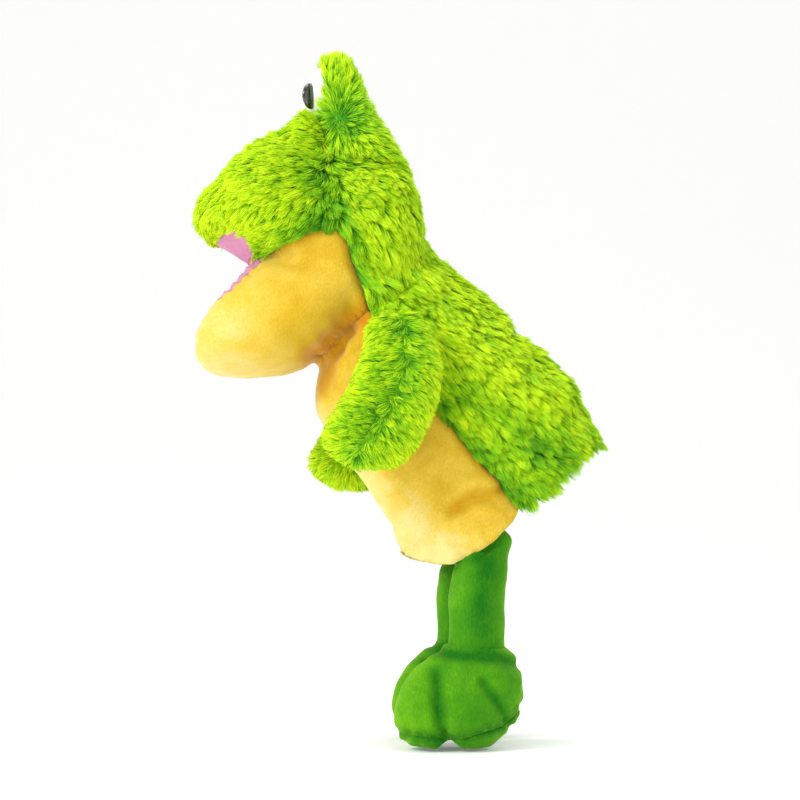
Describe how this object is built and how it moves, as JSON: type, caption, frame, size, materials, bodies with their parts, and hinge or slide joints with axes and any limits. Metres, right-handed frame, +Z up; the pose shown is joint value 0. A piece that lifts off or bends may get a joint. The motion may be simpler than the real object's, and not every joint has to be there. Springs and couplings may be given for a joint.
{
  "type": "frog hand puppet",
  "caption": "Plush frog glove puppet with a long-pile back, plain belly, hinged mouth, raised eyes, flat arms and hanging legs with stuffed feet.",
  "frame": {"origin": "centre of the hand opening at the hem, where the puppeteer's forearm enters", "axes": "+Z up, -Y towards the snout, +X towards the puppet's own left side; X = 0 is the plane of symmetry"},
  "size_m": [0.132, 0.2245, 0.378],
  "materials": {
    "green_fur": "long pile plush, combed",
    "yellow_plush": "short pile plush",
    "green_plush": "short pile plush",
    "pink_lining": "smooth woven lining",
    "grey_lining": "smooth woven lining",
    "felt_board": "stiff felt",
    "stuffing": "polyester fibre filling",
    "white_plastic": "glossy",
    "black_plastic": "high gloss",
    "washer_plastic": "satin"
  },
  "bodies": {
    "body": {"back_cover_left": "green_fur", "back_cover_right": "green_fur", "belly_panel": "yellow_plush", "sleeve_lining": "grey_lining", "leg_strap_left": "green_plush", "leg_strap_right": "green_plush"},
    "head": {"head_cover_left": "green_fur", "head_cover_right": "green_fur", "upper_mouth_lining": "pink_lining", "upper_mouth_board": "felt_board", "finger_pocket": "grey_lining", "head_padding": "stuffing", "throat_panel": "yellow_plush", "nape_cover": "green_fur", "eyeball_left": "white_plastic", "pupil_left": "black_plastic", "eye_washer_left": "washer_plastic", "eye_hood_left": "green_fur", "eye_filling_left": "stuffing", "eyeball_right": "white_plastic", "pupil_right": "black_plastic", "eye_washer_right": "washer_plastic", "eye_hood_right": "green_fur", "eye_filling_right": "stuffing"},
    "jaw": {"jaw_cover": "yellow_plush", "lower_mouth_lining": "pink_lining", "lower_mouth_board": "felt_board", "thumb_pocket": "grey_lining", "chin_padding": "stuffing"},
    "arm_left": {"arm_cover_left": "green_fur", "arm_filling_left": "stuffing"},
    "leg_left": {"leg_cover_left": "green_plush", "leg_filling_left": "stuffing"},
    "foot_left": {"foot_upper_left": "green_plush", "foot_filling_left": "stuffing", "foot_sole_left": "green_plush"},
    "arm_right": {"arm_cover_right": "green_fur", "arm_filling_right": "stuffing"},
    "leg_right": {"leg_cover_right": "green_plush", "leg_filling_right": "stuffing"},
    "foot_right": {"foot_upper_right": "green_plush", "foot_filling_right": "stuffing", "foot_sole_right": "green_plush"}
  },
  "joints": [
    {"name": "neck_nod", "type": "hinge", "parent": "body", "child": "head", "pos_m": [0, -0.072, 0.111], "axis": [1, 0, 0], "range_deg": [-20, 10]},
    {"name": "jaw_open", "type": "hinge", "parent": "head", "child": "jaw", "pos_m": [0, -0.1364, 0.1326], "axis": [1, 0, 0], "range_deg": [-60, 5]},
    {"name": "arm_swing_left", "type": "hinge", "parent": "body", "child": "arm_left", "pos_m": [0.055, -0.056, 0.098], "axis": [1, 0, 0], "range_deg": [-50, 30]},
    {"name": "leg_swing_left", "type": "hinge", "parent": "body", "child": "leg_left", "pos_m": [0.03, -0.016, -0.0305], "axis": [1, 0, 0], "range_deg": [-30, 30]},
    {"name": "ankle_left", "type": "hinge", "parent": "leg_left", "child": "foot_left", "pos_m": [0.03, -0.018, -0.082], "axis": [1, 0, 0], "range_deg": [-15, 15]},
    {"name": "arm_swing_right", "type": "hinge", "parent": "body", "child": "arm_right", "pos_m": [-0.055, -0.056, 0.098], "axis": [1, 0, 0], "range_deg": [-50, 30]},
    {"name": "leg_swing_right", "type": "hinge", "parent": "body", "child": "leg_right", "pos_m": [-0.03, -0.016, -0.0305], "axis": [1, 0, 0], "range_deg": [-30, 30]},
    {"name": "ankle_right", "type": "hinge", "parent": "leg_right", "child": "foot_right", "pos_m": [-0.03, -0.018, -0.082], "axis": [1, 0, 0], "range_deg": [-15, 15]}
  ]
}
